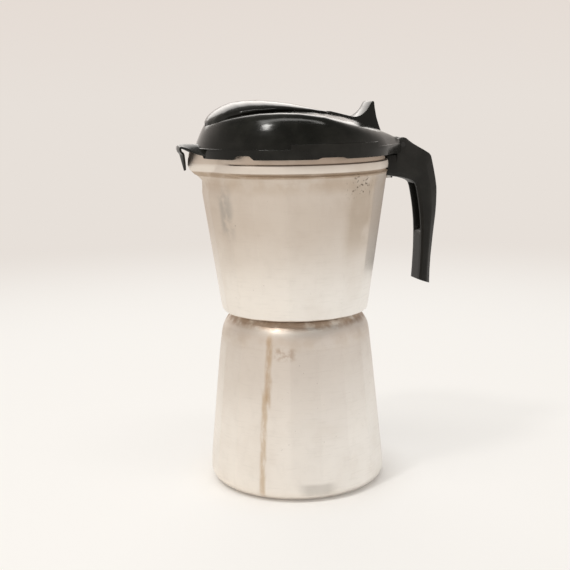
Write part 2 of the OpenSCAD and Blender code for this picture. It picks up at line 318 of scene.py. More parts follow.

# %% [markdown]
# ## Helpers for materials
# Every finish is a Principled shader, fed by small trees of noise and gradients on Object coordinates, so that
# it stays on the metal when a piece moves. Stains, and the light and shade painted on the castings, are placed by
# height and by the angle round the pot.

# %% Build materials from noise and gradients
class Finish:
    """A material under construction: adds nodes, links them, and keeps the shader at hand."""

    def __init__(self, name, roughness, metallic=0.0, **sockets):
        self.material = bpy.data.materials.new(name)
        self.material.use_nodes = True
        self.tree = self.material.node_tree
        self.shader = self.tree.nodes["Principled BSDF"]
        self.shader.inputs["Roughness"].default_value = roughness
        self.shader.inputs["Metallic"].default_value = metallic
        for socket, value in sockets.items():
            self.shader.inputs[socket.replace("_", " ")].default_value = value
        self.place = self.tree.nodes.new("ShaderNodeTexCoord").outputs["Object"]
        split = self.tree.nodes.new("ShaderNodeSeparateXYZ")
        self.link(self.place, split.inputs[0])
        self.x, self.y, self.z = split.outputs

    def link(self, source, target):
        self.tree.links.new(source, target)

    def feed(self, socket, value):
        if isinstance(value, (int, float)):
            socket.default_value = value
        elif isinstance(value, (tuple, list)):
            socket.default_value = tuple(value) + (1,) * (len(socket.default_value) - len(value))
        else:
            self.link(value, socket)

    def math(self, operation, a, b=0.0, clamp=False):
        step = self.tree.nodes.new("ShaderNodeMath")
        step.operation = operation
        step.use_clamp = clamp
        self.feed(step.inputs[0], a)
        self.feed(step.inputs[1], b)
        return step.outputs[0]

    def angle(self):
        """The angle round the pot in degrees, from -180 to 180, with the handle at 0."""
        return self.math("MULTIPLY", self.math("ARCTAN2", self.y, self.x), 180 / math.pi)

    def noise(self, size_mm, detail=3.0, stretch=(1, 1, 1), roughness=0.55):
        """Noise whose blotches measure about the given size."""
        mapping = self.tree.nodes.new("ShaderNodeMapping")
        self.link(self.place, mapping.inputs["Vector"])
        mapping.inputs["Scale"].default_value = stretch
        texture = self.tree.nodes.new("ShaderNodeTexNoise")
        self.link(mapping.outputs[0], texture.inputs["Vector"])
        texture.inputs["Scale"].default_value = 1000 / size_mm
        texture.inputs["Detail"].default_value = detail
        texture.inputs["Roughness"].default_value = roughness
        return texture.outputs["Fac"]

    def spread(self, value, low, high, out_low=0.0, out_high=1.0):
        """Maps low to high onto a new range, smoothly and clamped."""
        step = self.tree.nodes.new("ShaderNodeMapRange")
        step.interpolation_type = "SMOOTHSTEP"
        for socket, number in zip(step.inputs[1:5], (low, high, out_low, out_high)):
            socket.default_value = number
        self.feed(step.inputs[0], value)
        return step.outputs[0]

    def window(self, value, low, high, soft):
        """1 between low and high, and 0 outside, with soft edges."""
        rise = self.spread(value, low - soft, low + soft)
        fall = self.spread(value, high - soft, high + soft, 1.0, 0.0)
        return self.math("MULTIPLY", rise, fall)

    def times(self, *values):
        result = values[0]
        for value in values[1:]:
            result = self.math("MULTIPLY", result, value)
        return result

    def mix(self, amount, first, second, how="MIX"):
        step = self.tree.nodes.new("ShaderNodeMix")
        step.data_type = "RGBA"
        step.blend_type = how
        self.feed(step.inputs[0], amount)
        self.feed(step.inputs[6], first)
        self.feed(step.inputs[7], second)
        return step.outputs[2]

    def bump(self, height, distance_mm, strength=1.0, under=None):
        step = self.tree.nodes.new("ShaderNodeBump")
        step.inputs["Strength"].default_value = strength
        step.inputs["Distance"].default_value = distance_mm * MM
        self.feed(step.inputs["Height"], height)
        if under is not None:
            self.link(under, step.inputs["Normal"])
        return step.outputs[0]

    def end(self, color, roughness=None, normal=None):
        self.feed(self.shader.inputs["Base Color"], color)
        if roughness is not None:
            self.feed(self.shader.inputs["Roughness"], roughness)
        if normal is not None:
            self.link(normal, self.shader.inputs["Normal"])
        return self.material


print("a finish can", ", ".join(step for step in vars(Finish) if not step.startswith("_")))

# %% [markdown]
# ## Cast aluminium
# The boiler and the jug are the same metal, polished once and dulled by years of use: a soft satin with cloudy
# patches, fine scratches, tiny pits, and warm coffee stains. Light is painted on it too: a warmer tint on the
# side towards the left lamp, a painted darker reflection towards the top of each casting, and a painted highlight
# on the jug's collar. Each casting has its own stains and painted light, so one function makes the common metal
# and takes a list of them, each a place on the casting and a colour.

# %% Write the common metal
# Painted light: the warm tone is laid on the camera's left, towards the lamp there, and the cool tone on its
# right. The clouds also mix the two at random.
WARM_METAL_LIT_SIDE = (0.90, 0.835, 0.755)
COOL_METAL_FAR_SIDE = (0.86, 0.845, 0.82)
COFFEE = (0.36, 0.22, 0.12)
SCALE_GREY = (0.50, 0.475, 0.44)


def cast_metal(name, stains_and_painted_light):
    """Worn cast aluminium. Stains and painted light come as entries, each a place on the casting, a colour and a
    strength.
    """
    f = Finish(name, roughness=0.33, metallic=1.0)
    clouds = f.noise(26, detail=4)
    mottle = f.noise(5, detail=5, stretch=(1, 1, 0.6))
    # Painted light: this factor runs across the camera's view (0.29 is tan 16°), so the metal is warmer on the
    # left, towards the lamp, and cooler on the right.
    side = f.spread(f.math("ADD", f.x, f.math("MULTIPLY", f.y, -0.29)), -0.045, 0.045)
    base = f.mix(f.math("ADD", f.math("MULTIPLY", side, 0.6), f.math("MULTIPLY", clouds, 0.4)),
                 WARM_METAL_LIT_SIDE, COOL_METAL_FAR_SIDE)
    base = f.mix(f.spread(mottle, 0.50, 0.72, 0.0, 0.07), base, SCALE_GREY)
    base = f.mix(f.spread(clouds, 0.46, 0.72, 0.0, 0.15), base, (0.66, 0.56, 0.45))
    streaks = f.noise(3.0, detail=4, stretch=(0.25, 0.25, 2.5))
    base = f.mix(f.spread(streaks, 0.50, 0.75, 0.0, 0.10), base, SCALE_GREY)
    dull = f.math("MULTIPLY", clouds, 0.16)
    for place, color, strength in stains_and_painted_light:
        amount = f.math("MULTIPLY", place(f), strength, clamp=True)
        base = f.mix(amount, base, color)
        dull = f.math("ADD", dull, f.math("MULTIPLY", amount, 0.20))
    rough = f.math("ADD", dull, 0.17)
    rough = f.math("ADD", rough, f.math("MULTIPLY", mottle, 0.10))
    rough = f.math("ADD", rough, f.math("MULTIPLY", streaks, 0.08))
    grain = f.noise(0.9, detail=2)
    scratches = f.noise(2.2, detail=2, stretch=(1, 1, 14))
    pits = f.spread(f.noise(1.7, detail=1), 0.24, 0.32)
    normal = f.bump(grain, 0.03, 0.3)
    normal = f.bump(scratches, 0.03, 0.35, normal)
    normal = f.bump(clouds, 0.35, 0.3, normal)
    normal = f.bump(pits, 0.05, 0.4, normal)
    return f.end(base, rough, normal)


print("the metal runs from", WARM_METAL_LIT_SIDE, "to", COOL_METAL_FAR_SIDE)

# %% [markdown]
# A stain is a place and a colour, and so is a patch of painted light. The places are windows on height and on the
# angle round the pot, and noise breaks them up. They are written once, and each casting then lists the ones that
# it has.

# %% Say where stains and painted light can be
def painted_darker_reflection(low, high):
    """Painted shade: a darker, browner reflection that grows from one height up to another, standing in for the
    darker floor that the upper metal reflects.
    """
    return lambda f: f.times(f.spread(f.z, low * MM, high * MM),
                             f.spread(f.noise(40, detail=2), 0.2, 0.8, 0.75, 1.0))


def band(low, high, soft, size=7, keep=(0.35, 0.65)):
    """A ring of colour between two heights in millimetres, broken up by noise: a stain, except on the jug's
    collar, where it is a painted highlight.
    """
    return lambda f: f.times(f.window(f.z, low * MM, high * MM, soft * MM),
                             f.spread(f.noise(size, detail=4), *keep))


def patch(angle, half_angle, low, high, soft, size=5, keep=(0.35, 0.6)):
    """A stain between two heights, on one side of the casting only."""
    def place(f):
        turn = f.window(f.angle(), angle - half_angle, angle + half_angle, 0.45 * half_angle)
        height = f.window(f.z, low * MM, high * MM, soft * MM)
        return f.times(turn, height, f.spread(f.noise(size, detail=4), *keep))
    return place


def run_mark(angle, half_angle, low, high):
    """A dried drip that ran straight down the casting."""
    def place(f):
        sway = f.math("MULTIPLY", f.math("SUBTRACT", f.noise(14, detail=1), 0.5), 3.0)
        turn = f.window(f.math("ADD", f.angle(), sway), angle - half_angle, angle + half_angle,
                        0.6 * half_angle)
        return f.times(turn, f.window(f.z, low * MM, high * MM, 4 * MM),
                       f.spread(f.noise(3, detail=5, stretch=(1, 1, 0.3)), 0.2, 0.6))
    return place


def specks(angle, half_angle, low, high, size, cover):
    """A cluster of small dark pits."""
    def place(f):
        turn = f.window(f.angle(), angle - half_angle, angle + half_angle, 0.5 * half_angle)
        height = f.window(f.z, low * MM, high * MM, 3 * MM)
        return f.times(turn, height, f.spread(f.noise(size, detail=2), cover, cover + 0.03))
    return place


# %% Stain the two castings and paint their light and shade
# Angles are in degrees from the handle, and heights in millimetres above the boiler's base
boiler_metal = cast_metal("boiler_aluminium", [
    # Painted shade: the boiler grows darker and browner up towards its shoulder, for the darker floor that it
    # reflects.
    (painted_darker_reflection(30, 92), (0.50, 0.42, 0.35), 0.40),
    (band(103, 112, 2, size=7, keep=(0.3, 0.6)), COFFEE, 0.6),
    (band(92, 100, 4, size=11), (0.55, 0.43, 0.31), 0.25),
    (run_mark(-126, 2.2, 58, 100), (0.50, 0.34, 0.19), 0.6),
    (run_mark(-128.5, 1.9, 3, 66), (0.56, 0.41, 0.25), 0.6),
    (patch(-114, 7, 86, 93, 1.5, size=4), COFFEE, 0.45),
    (patch(-93, 10, 4, 11, 1.5, size=12, keep=(0.2, 0.5)), SCALE_GREY, 0.5),
    (specks(-60, 60, 30, 90, 2.0, 0.73), (0.24, 0.20, 0.16), 0.5),
])
jug_metal = cast_metal("jug_aluminium", [
    # Painted shade: the jug grows darker and browner from 118 mm up to 168 mm and above, for the darker floor
    # that it reflects.
    (painted_darker_reflection(118, 168), (0.50, 0.40, 0.31), 0.62),
    # Painted highlight: the collar bead is made paler, for the bright reflection that runs along it.
    (band(196.4, 201.2, 0.6, size=24, keep=(0.0, 0.3)), (0.95, 0.91, 0.85), 0.5),
    (patch(-10, 122, 201.2, 207, 0.8, size=10, keep=(0.05, 0.5)), COFFEE, 0.38),
    (band(186, 194, 4, size=14), (0.50, 0.38, 0.26), 0.35),
    (band(193.6, 196.4, 0.5, size=9, keep=(0.1, 0.5)), (0.40, 0.29, 0.19), 0.6),
    (patch(-153, 6, 160, 186, 8, size=9), (0.40, 0.38, 0.35), 0.5),
    (patch(-60, 11, 150, 196, 9, size=14, keep=(0.2, 0.5)), (0.52, 0.44, 0.35), 0.5),
    (specks(-63, 9, 182, 194, 1.9, 0.61), (0.13, 0.10, 0.07), 0.7),
    (specks(-90, 70, 115, 190, 1.8, 0.74), (0.22, 0.18, 0.14), 0.5),
])
for metal in (boiler_metal, jug_metal):
    print(metal.name, "has", len(metal.node_tree.nodes), "nodes")

# %% [markdown]
# ## The other finishes
# The lid is glossy black plastic that reflects the room a little greenish, with a faint haze of grease. The
# handle is the same black with more wear. Sheet aluminium, brass, steel, fibre and rubber are inside or small.

# %% Write the plastic and the plain finish
def black_plastic(name, shade, roughness, haze, grain_bump):
    """Black plastic with a cloudy haze of grease, and a fine grain."""
    f = Finish(name, roughness=roughness, Specular_IOR_Level=0.21, Coat_Weight=0.05, Coat_Roughness=0.1)
    cloud = f.noise(18, detail=4)
    fine = f.noise(1.4, detail=3)
    color = f.mix(f.spread(cloud, 0.4, 0.7, 0.0, haze), shade, (0.06, 0.058, 0.050))
    rough = f.math("ADD", f.math("MULTIPLY", cloud, 0.18), roughness - 0.06)
    rough = f.math("ADD", rough, f.math("MULTIPLY", fine, 0.05))
    wear = f.noise(0.5, detail=2)
    return f.end(color, rough, f.bump(wear, 0.02, grain_bump, f.bump(cloud, 0.25, 0.25)))


def plain_finish(name, color, second, roughness, metallic, size, bump_mm):
    """Two cloudy tones of one stuff, with a fine grain."""
    f = Finish(name, roughness=roughness, metallic=metallic)
    cloud = f.noise(size, detail=4)
    fine = f.noise(size / 8, detail=3)
    tone = f.mix(f.spread(cloud, 0.35, 0.7), color, second)
    rough = f.math("ADD", f.math("MULTIPLY", fine, 0.14), roughness - 0.07)
    return f.end(tone, rough, f.bump(fine, bump_mm, 0.5))


# %% Make the plastics and the small finishes
lid_plastic = black_plastic("lid_plastic", (0.0058, 0.0060, 0.0046), 0.10, 0.15, 0.10)
handle_plastic = black_plastic("handle_plastic", (0.0100, 0.0100, 0.0085), 0.36, 0.20, 0.35)
sheet_metal = plain_finish("sheet_aluminium", (0.72, 0.71, 0.68), (0.58, 0.55, 0.50), 0.38, 1.0, 14, 0.05)
brass = plain_finish("valve_brass", (0.72, 0.52, 0.23), (0.50, 0.36, 0.18), 0.30, 1.0, 5, 0.03)
steel = plain_finish("steel", (0.60, 0.60, 0.59), (0.46, 0.45, 0.43), 0.28, 1.0, 4, 0.02)
dark_steel = plain_finish("blackened_steel", (0.045, 0.045, 0.043), (0.025, 0.025, 0.024), 0.42, 0.6, 3, 0.02)
fibre = plain_finish("valve_fibre", (0.20, 0.055, 0.03), (0.13, 0.04, 0.025), 0.8, 0.0, 2, 0.08)
rubber = plain_finish("gasket_rubber", (0.78, 0.74, 0.66), (0.64, 0.56, 0.44), 0.55, 0.0, 9, 0.05)
print("finishes made:", len(bpy.data.materials))

# %% [markdown]
# The inner pieces are shown as the CAD has them, so each only needs its finish.

# %% Finish the pieces that stay as they are
CAD_FINISHES = {
    "valve_body": brass, "valve_washer": fibre, "valve_retainer": steel,
    "valve_pin": steel, "funnel": sheet_metal, "funnel_screen": sheet_metal, "gasket": rubber,
    "filter_plate": sheet_metal, "column": jug_metal, "handle_screw": steel, "hinge_pin": dark_steel,
    "lever_screws": steel,
}
for node, material in CAD_FINISHES.items():
    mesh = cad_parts[node].data
    mesh.materials.clear()
    mesh.materials.append(material)
print("finished CAD nodes:", ", ".join(CAD_FINISHES))

# %% [markdown]
# ## The boiler
# A cast vessel with 18 flats. It could be an 18-sided solid cut by a turned one, but the real casting has no
# sharp edge anywhere. So its outline is spun round the axis, and then each point of the outer wall is drawn in
# to the flat, with a rounded corner where flat and turned surface meet. That also gives the scalloped arches
# under the shoulder, where the flats run out. The neck gets its thread in the same pass.

# %% Draw the boiler's outline
FACETS = 18
FACET = 360 / FACETS
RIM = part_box("boiler")[1].z / MM
BOILER_R = 55.0
BOILER_TAPER = 0.1
NECK_R = 38.4
NECK_Z = 107.6
NECK_BORE = 35.2
THREAD_PITCH = 3.5
THREAD_DEPTH = 0.85


def flat_radius(x, y, apothem):
    """How far out a flat's surface is, at this point's angle round the pot."""
    turn = math.degrees(math.atan2(y, x))
    off_centre = (turn + FACET / 2) % FACET - FACET / 2
    return apothem / math.cos(math.radians(off_centre))


def boiler_flat(z):
    return (BOILER_R + 0.45 - BOILER_TAPER * (z - 12)) * math.cos(math.pi / FACETS)


boiler_outline = [(0, 0), (20, 0), (38, 0)]
boiler_outline += arc(BOILER_R - 7.1, 7.5, 7.5, -90, 0, 14)
boiler_outline += line(boiler_outline[-1], (BOILER_R + 0.5, 18), 5)
boiler_outline += line(boiler_outline[-1], (BOILER_R - 5.6, 78), 16)
boiler_outline += line(boiler_outline[-1], (BOILER_R - 7.6, 91), 12)
boiler_outline += arc(BOILER_R - 30.95, 90.5, 23.1, 3, 47, 28)
boiler_outline += [(39.3, NECK_Z), (NECK_R + 0.3, NECK_Z + 0.1)]
boiler_outline += [(NECK_R, NECK_Z + 0.8 + 0.35 * i) for i in range(27)]
boiler_outline += [(NECK_R - 0.6, RIM), (NECK_BORE + 0.5, RIM), (NECK_BORE, RIM - 0.5)]
boiler_outline += line(boiler_outline[-1], (NECK_BORE, NECK_Z - 3.5), 6)
boiler_outline += [(NECK_BORE + 4, NECK_Z - 7), (43.5, 92), (44.8, 80), (50.6, 18)]
boiler_outline += arc(BOILER_R - 10, 10, 6, 0, -90, 8)
boiler_outline += [(20, 4), (0, 4)]
print("the boiler's outline has", len(boiler_outline), "points")


# %% Spin the boiler and draw in its flats
def shape_boiler(x, y, z):
    """Draws the outer wall in to its flats, and cuts the thread into the neck."""
    radius = math.hypot(x, y)
    if radius < 0.01:
        return x, y, z
    target = radius
    if z < NECK_Z and radius > boiler_flat(z) * 0.93 and z > 0.01 and radius > 40:
        target = blend_low(radius, flat_radius(x, y, boiler_flat(z)), 0.9)
    elif NECK_Z + 0.9 < z < RIM - 0.9 and radius > NECK_R - 0.2:
        turn = math.atan2(y, x) / (2 * math.pi)
        wave = abs(((z / THREAD_PITCH - turn) % 1) * 2 - 1)
        target = radius - THREAD_DEPTH * ease(wave, 0.15, 0.8)
    return x * target / radius, y * target / radius, z


boiler_casting = turned("boiler_casting", boiler_outline, closed=False)
move_points(boiler_casting, shape_boiler)
smooth(boiler_casting, 40)
finish_piece(boiler_casting, "boiler", "boiler_aluminium", boiler_metal, "boiler")

# %% [markdown]
# The safety valve screws into a round boss, because a hexagon needs a flat seat. The boss is a short drum with
# a rounded edge, half sunk in the wall.

# %% Add the valve's boss
VALVE_Z = 62
valve_boss = drum("valve_boss", 8.5, (0, 46.5, VALVE_Z), (0, 52, VALVE_Z))
bevelled(valve_boss, 0.8)
smooth(valve_boss)
finish_piece(valve_boss, "boiler", "boiler_aluminium", boiler_metal)

# %% [markdown]
# The valve's spring holds its pin shut. It is a wire swept along a helix: a grid is wrapped round the wire one
# way and along the coil the other.

# %% Add the valve's spring
COIL_TURNS = 6
COIL_STEPS = 36
COIL_R = 2.35
WIRE_R = 0.35
COIL_START = 47.9
COIL_END = 59.1


def coil_surface(u, v):
    """u runs round the wire, and v along it."""
    along, around = 2 * math.pi * COIL_TURNS * v, 2 * math.pi * u
    radius = COIL_R + WIRE_R * math.cos(around)
    y = COIL_START + (COIL_END - COIL_START) * v + WIRE_R * math.sin(around)
    return radius * math.cos(along), y, VALVE_Z + radius * math.sin(along)


valve_coil = shaped_grid("valve_coil", 10, COIL_TURNS * COIL_STEPS, coil_surface)
close_ends(valve_coil)
smooth(valve_coil, 60)
finish_piece(valve_coil, "boiler", "steel", steel, "valve_spring")
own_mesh(valve_coil)

# %% [markdown]
# ## The jug
# The jug is turned and drawn in to its flats like the boiler. Above the flats come a groove, a round collar and
# a thin rim that the lid's skirt covers. Its spout is not added on: a real one is part of the casting, so the
# wall itself is pulled outwards near the rim, inside and outside together.

# %% Draw the jug's outline
JUG_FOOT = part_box("jug")[0].z / MM
JUG_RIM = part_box("jug")[1].z / MM
FLATS_TOP = 194.5
GROOVE_TOP = 196.5
COLLAR_TOP = 201.0
RIM_R = 56.3
RIM_IN = 53.6
FLOOR = 129.0


def jug_radius(z):
    """The radius of the wall's corners at this height."""
    return 47.5 + 0.1443 * (z - 120)


jug_outline = [(38.9, JUG_FOOT)]
jug_outline += arc(42.9, JUG_FOOT + 3.5, 3.5, -90, 0, 12)
jug_outline += line(jug_outline[-1], (jug_radius(118) + 0.35, 118), 8)
jug_outline += line(jug_outline[-1], (jug_radius(190) + 0.3, 190), 30)
jug_outline += line(jug_outline[-1], (jug_radius(FLATS_TOP) - 0.2, FLATS_TOP), 8)
jug_outline += [(RIM_R + 0.75, FLATS_TOP + 0.5), (RIM_R + 0.5, FLATS_TOP + 1.0),
                (RIM_R + 0.7, GROOVE_TOP - 0.3)]
jug_outline += arc(RIM_R - 6.4, (GROOVE_TOP + COLLAR_TOP) / 2, 8.4, -15.5, 15.5, 12)
jug_outline += line((RIM_R, COLLAR_TOP - 0.1), (RIM_R, JUG_RIM - 0.5), 8)
jug_outline += arc(RIM_R - 0.5, JUG_RIM - 0.5, 0.5, 20, 90, 3)
jug_outline += arc(RIM_IN + 0.5, JUG_RIM - 0.5, 0.5, 90, 180, 3)
jug_outline += line((RIM_IN, JUG_RIM - 1), (RIM_IN, GROOVE_TOP), 12)
jug_outline += line(jug_outline[-1], (jug_radius(136) - 3.2, 136), 28)
jug_outline += arc(jug_radius(FLOOR) - 9.4, FLOOR + 6, 6, -8, -90, 8)
jug_outline += [(24, FLOOR), (12, FLOOR + 3), (5.55, FLOOR + 4)]
jug_outline += [(5.55, FLOOR - 3), (8, FLOOR - 3), (31.7, 122.8), (38.9, 122.8), (38.9, 115)]
print("the jug's outline has", len(jug_outline), "points")


# %% Spin the jug, draw in its flats and pull out its spout
def spout_pull(x, y, z):
    """How far the wall is pulled out at this point of the spout's side."""
    if x > 0:
        return 0
    reach = between(z, [(185, 0), (189, 0.6), (192, 2.6), (194.5, 5.0), (197, 7.6), (200, 9.3),
                        (203, 9.2), (208, 8.4)])
    width = between(z, [(185, 6), (192, 12), (200, 21), (208, 24)])
    away = min(abs(y) / width, 1)
    return reach * (1 - away) ** 1.5 * (1 + 0.6 * away)


def shape_jug(x, y, z):
    """Draws the outer wall in to its flats below the groove, and pulls out the spout above."""
    radius = math.hypot(x, y)
    target = radius
    wall_middle = jug_radius(z) - 1.8
    if z < FLATS_TOP and radius > wall_middle and z > JUG_FOOT + 0.1:
        target = blend_low(radius, flat_radius(x, y, jug_radius(z) * math.cos(math.pi / FACETS)), 0.8)
    x, y = x * target / radius, y * target / radius
    if radius > 45 and z > 184:
        if radius > RIM_R and z < JUG_RIM - 1:
            # The collar runs out into the spout's smooth sides
            fade = ease(-x, 40, 54)
            smooth_r = between(z, [(FLATS_TOP, RIM_R + 0.4), (JUG_RIM, RIM_R)])
            kept = 1 - fade * (1 - smooth_r / radius) * target / radius
            x, y = x * kept, y * kept
        x -= spout_pull(x, y, z)
    return x, y, z


jug_casting = turned("jug_casting", jug_outline)
move_points(jug_casting, shape_jug)
smooth(jug_casting, 40)
finish_piece(jug_casting, "jug", "jug_aluminium", jug_metal, "jug")

# %% [markdown]
# The handle is held by a cast lug that goes into its arm.

# %% Add the jug's lug
jug_lug = block("jug_lug", (54.5, -4, 191.5), (66.5, 4, 202.5), 0.6)
smooth(jug_lug)
finish_piece(jug_lug, "jug", "jug_aluminium", jug_metal)

# %% [markdown]
# ## The handle
# A moulded handle is a shape that changes all along its length: a deep arm, a hinge block, a tight bend and a
# slim grip. It is lofted: at each station one point lies on the inner outline and one on the outer, and a
# closed section is stretched between them. The section is widest at the inside and chamfered to the outside.

# %% Measure the handle's stations
HINGE = (69.5, 209.0)
EAR_R = 4.5
GRIP_HALF = 8.25

HANDLE_STATIONS = [
    # inner x, inner z, outer x, outer z, share of the chamfer
    (58.9, 190.0, 58.9, 203.0, 0.2), (61.0, 189.8, 62.0, 203.0, 0.2), (63.0, 189.4, 65.6, 203.2, 0.2),
    (64.4, 189.1, 66.4, 205.8, 0.1), (65.5, 188.9, 65.3, 207.5, 0.1), (66.2, 188.8, 65.0, 209.4, 0.1),
    (66.8, 188.7, 65.9, 211.8, 0.1), (67.6, 188.5, 68.0, 213.2, 0.1), (68.6, 188.3, 70.0, 213.5, 0.1),
    (69.6, 188.1, 72.0, 213.0, 0.2), (70.8, 187.8, 74.6, 211.1, 0.5), (72.2, 187.4, 77.5, 209.3, 0.8),
    (73.8, 186.9, 81.2, 207.3, 1.0), (75.6, 186.2, 85.4, 205.0, 1.0), (77.1, 185.2, 88.7, 203.0, 1.0),
    (78.2, 184.0, 90.0, 201.5, 1.0), (79.0, 181.8, 90.9, 198.0, 1.0), (79.7, 178.6, 92.0, 193.0, 1.0),
    (80.3, 175.2, 93.2, 187.0, 1.0), (80.9, 171.6, 94.0, 181.6, 1.0), (81.4, 168.0, 94.1, 177.4, 1.0),
    (81.9, 163.6, 93.9, 170.6, 1.0), (82.3, 159.2, 93.4, 164.0, 1.0), (82.5, 154.0, 92.6, 157.6, 1.0),
    (82.5, 148.0, 91.8, 151.0, 1.0), (82.4, 142.0, 91.1, 144.2, 1.0), (82.1, 135.5, 90.3, 136.4, 1.0),
    (81.7, 129.0, 89.8, 128.0, 1.0), (81.3, 124.0, 89.6, 121.6, 1.0), (81.2, 122.3, 89.6, 119.3, 1.0),
]
SECTION_CORNERS = 16
SECTION_STEPS = 10
STATION_STEPS = 5
print("the handle has", len(HANDLE_STATIONS), "stations")


# %% Loft the handle
def station(v):
    """Reads the loft's outlines at a place between 0, the arm's root, and 1, the grip's end."""
    at = v * (len(HANDLE_STATIONS) - 1)
    i = min(int(at), len(HANDLE_STATIONS) - 2)
    t = at - i
    return [a + (b - a) * t for a, b in zip(HANDLE_STATIONS[i], HANDLE_STATIONS[i + 1])]


def section_point(u, chamfer):
    """The closed section: depth from 0 (inside) to 1 (outside), and the side from -1 to 1."""
    corners = [(0.0, -0.55), (0.0, 0.55), (0.02, 0.80), (0.14, 0.97), (0.30, 1.0), (0.48, 1.0),
               (0.60, 1.0 - 0.05 * chamfer), (0.96, 0.96 - 0.36 * chamfer), (1.0, 0.88 - 0.36 * chamfer),
               (1.0, -0.88 + 0.36 * chamfer), (0.96, -0.96 + 0.36 * chamfer),
               (0.60, -1.0 + 0.05 * chamfer), (0.48, -1.0), (0.30, -1.0), (0.14, -0.97), (0.02, -0.80)]
    at = (u % 1) * len(corners)
    i = int(at) % len(corners)
    t = at - int(at)
    first, second = corners[i], corners[(i + 1) % len(corners)]
    return first[0] + (second[0] - first[0]) * t, first[1] + (second[1] - first[1]) * t


def handle_surface(u, v):
    """u runs round the section, and v from the arm's root to the grip's end."""
    inner_x, inner_z, outer_x, outer_z, chamfer = station(v)
    depth, side = section_point(u, chamfer)
    y = side * GRIP_HALF
    # The channel down the inside of the grip ends in a round
    channel = ease(inner_z, 152, 156) * ease(inner_z, 184.5, 181)
    dent = 0.50 * channel * ease(abs(y), 5.4, 4.2) * (1 if depth < 0.02 else 0)
    depth += dent
    return (inner_x + (outer_x - inner_x) * depth, y, inner_z + (outer_z - inner_z) * depth)


handle_shell = shaped_grid("handle_shell", SECTION_CORNERS * SECTION_STEPS,
                           (len(HANDLE_STATIONS) - 1) * STATION_STEPS, handle_surface)
close_ends(handle_shell)
print("the loft has", len(handle_shell.data.polygons), "faces")

# %% [markdown]
# Four cuts make room for what the handle holds: the lid's knuckle between its ears, the jug's lug in its arm, the
# hinge pin, and the screw that comes up from below.

# %% Cut the handle's slot, socket and holes
EAR_GAP = 4.4
PIN_HOLE_R = 1.52
ear_slot = block("ear_slot", (58, -EAR_GAP, 204), (HINGE[0] + 4.8, EAR_GAP, 225))
lug_socket = block("lug_socket", (50, -4.2, 191.3), (66.8, 4.2, 202.8))
pin_hole = drum("pin_hole", PIN_HOLE_R, (HINGE[0], -20, HINGE[1]), (HINGE[0], 20, HINGE[1]), 32)
screw_hole = drum("screw_hole", 3.4, (62, 0, 180), (62, 0, 189.9), 32)
cut(handle_shell, ear_slot, lug_socket, pin_hole, screw_hole)
smooth(handle_shell, 28)
finish_piece(handle_shell, "jug", "handle_plastic", handle_plastic, "handle")

# %% [markdown]
# ## The lid
# The lid's dome is round in plan, with a tail that runs to the hinge. Its sides are steep and its top is almost
# flat, sloping down to the tail. It is one surface: for each direction from the middle, a path runs outwards
# over the top, down the side, over the flange and down the skirt. A Solidify modifier gives it its wall.

# %% Measure the lid
LID_R = 60.0
SKIRT_Z = 204.5
FLANGE_Z = 210.0
TAIL_X = 66.6
TAIL_HALF = 11.0
TOP_LINE = [(-60, 222.5), (-54, 224.8), (-50, 226.6), (-46, 228.0), (-38, 229.8), (-30, 231.1), (-19, 231.8),
            (-8, 231.7), (6, 230.9), (16, 229.7), (26, 228.0), (35, 225.7), (46, 221.6), (55, 217.8),
            (66.6, 212.7)]
SIDE_LINE = [(0, 210.4), (1.5, 214.5), (3.0, 218.0), (4.4, 220.9), (6.0, 223.8), (7.6, 226.2), (9.6, 228.7),
             (12, 231.0), (16, 234.0), (80, 260)]
TOP_FALL = [(-60, 1.6), (-10, 1.8), (6, 2.8), (21, 5.2), (36, 7.5), (66, 9.0)]
LID_WALL = 1.8
print("the lid's top is at", max(z for x, z in TOP_LINE), "mm")


# %% Say where the lid's surface runs
def lid_edge(turn):
    """The plan radius of the lid at an angle from the tail, in radians."""
    away = abs(math.atan2(math.sin(turn), math.cos(turn)))
    corner = math.atan2(TAIL_HALF, TAIL_X)
    far = math.hypot(TAIL_HALF, TAIL_X)
    tangent = corner + math.acos(LID_R / far)
    if away > tangent:
        return LID_R
    if away > corner:
        return LID_R / math.cos(tangent - away)
    return TAIL_X / math.cos(away)


def lid_top(x, y):
    """The height of the lid's top, which falls a little to both sides."""
    return between(x, TOP_LINE) - between(x, TOP_FALL) * (y / 46) ** 2


def lid_surface(u, v):
    """u runs round the lid, and v from its middle over the edge and down the skirt."""
    turn = 2 * math.pi * u
    edge = lid_edge(turn)
    c, s = math.cos(turn), math.sin(turn)
    if v < 0.8:
        out = edge * (1 - (1 - v / 0.8) ** 1.6)
        x, y = out * c, out * s
        tail = ease(x, 30, 60)
        side = between((edge - out) * (1 - 0.3 * tail + 2 * ease(x, 60, 66)), SIDE_LINE)
        soft = 3.0 + 6 * ease(x, -5, 28) * (1 - tail)
        z = max(blend_low(side, lid_top(x, y), soft), FLANGE_Z)
        return x, y, z
    path = (v - 0.8) / 0.2
    out = between(path, [(0, edge), (0.12, edge + 0.35), (0.3, edge + 0.4), (1, edge + 0.2)])
    z = between(path, [(0, FLANGE_Z + 0.4), (0.12, FLANGE_Z + 0.2), (0.3, FLANGE_Z - 0.9),
                     (1, SKIRT_Z)])
    return out * c, out * s, z


print("the lid's plan radius is", round(lid_edge(math.pi), 1), "mm at the spout")

# %% [markdown]
# The skirt isn't straight below. It rises over the spout, so that the coffee has a way out, and in shallow arches
# on the sides. A cut would leave slivers there, so the skirt's points are moved up before it gets its wall.

# %% Model the lid's shell
# middle in degrees from the tail, half width in degrees, lift in millimetres
SKIRT_ARCHES = [(180, 13.2, 3.8), (134, 6.5, 2.3), (84, 9, 1.0), (-134, 6.5, 2.3), (-84, 9, 1.0)]


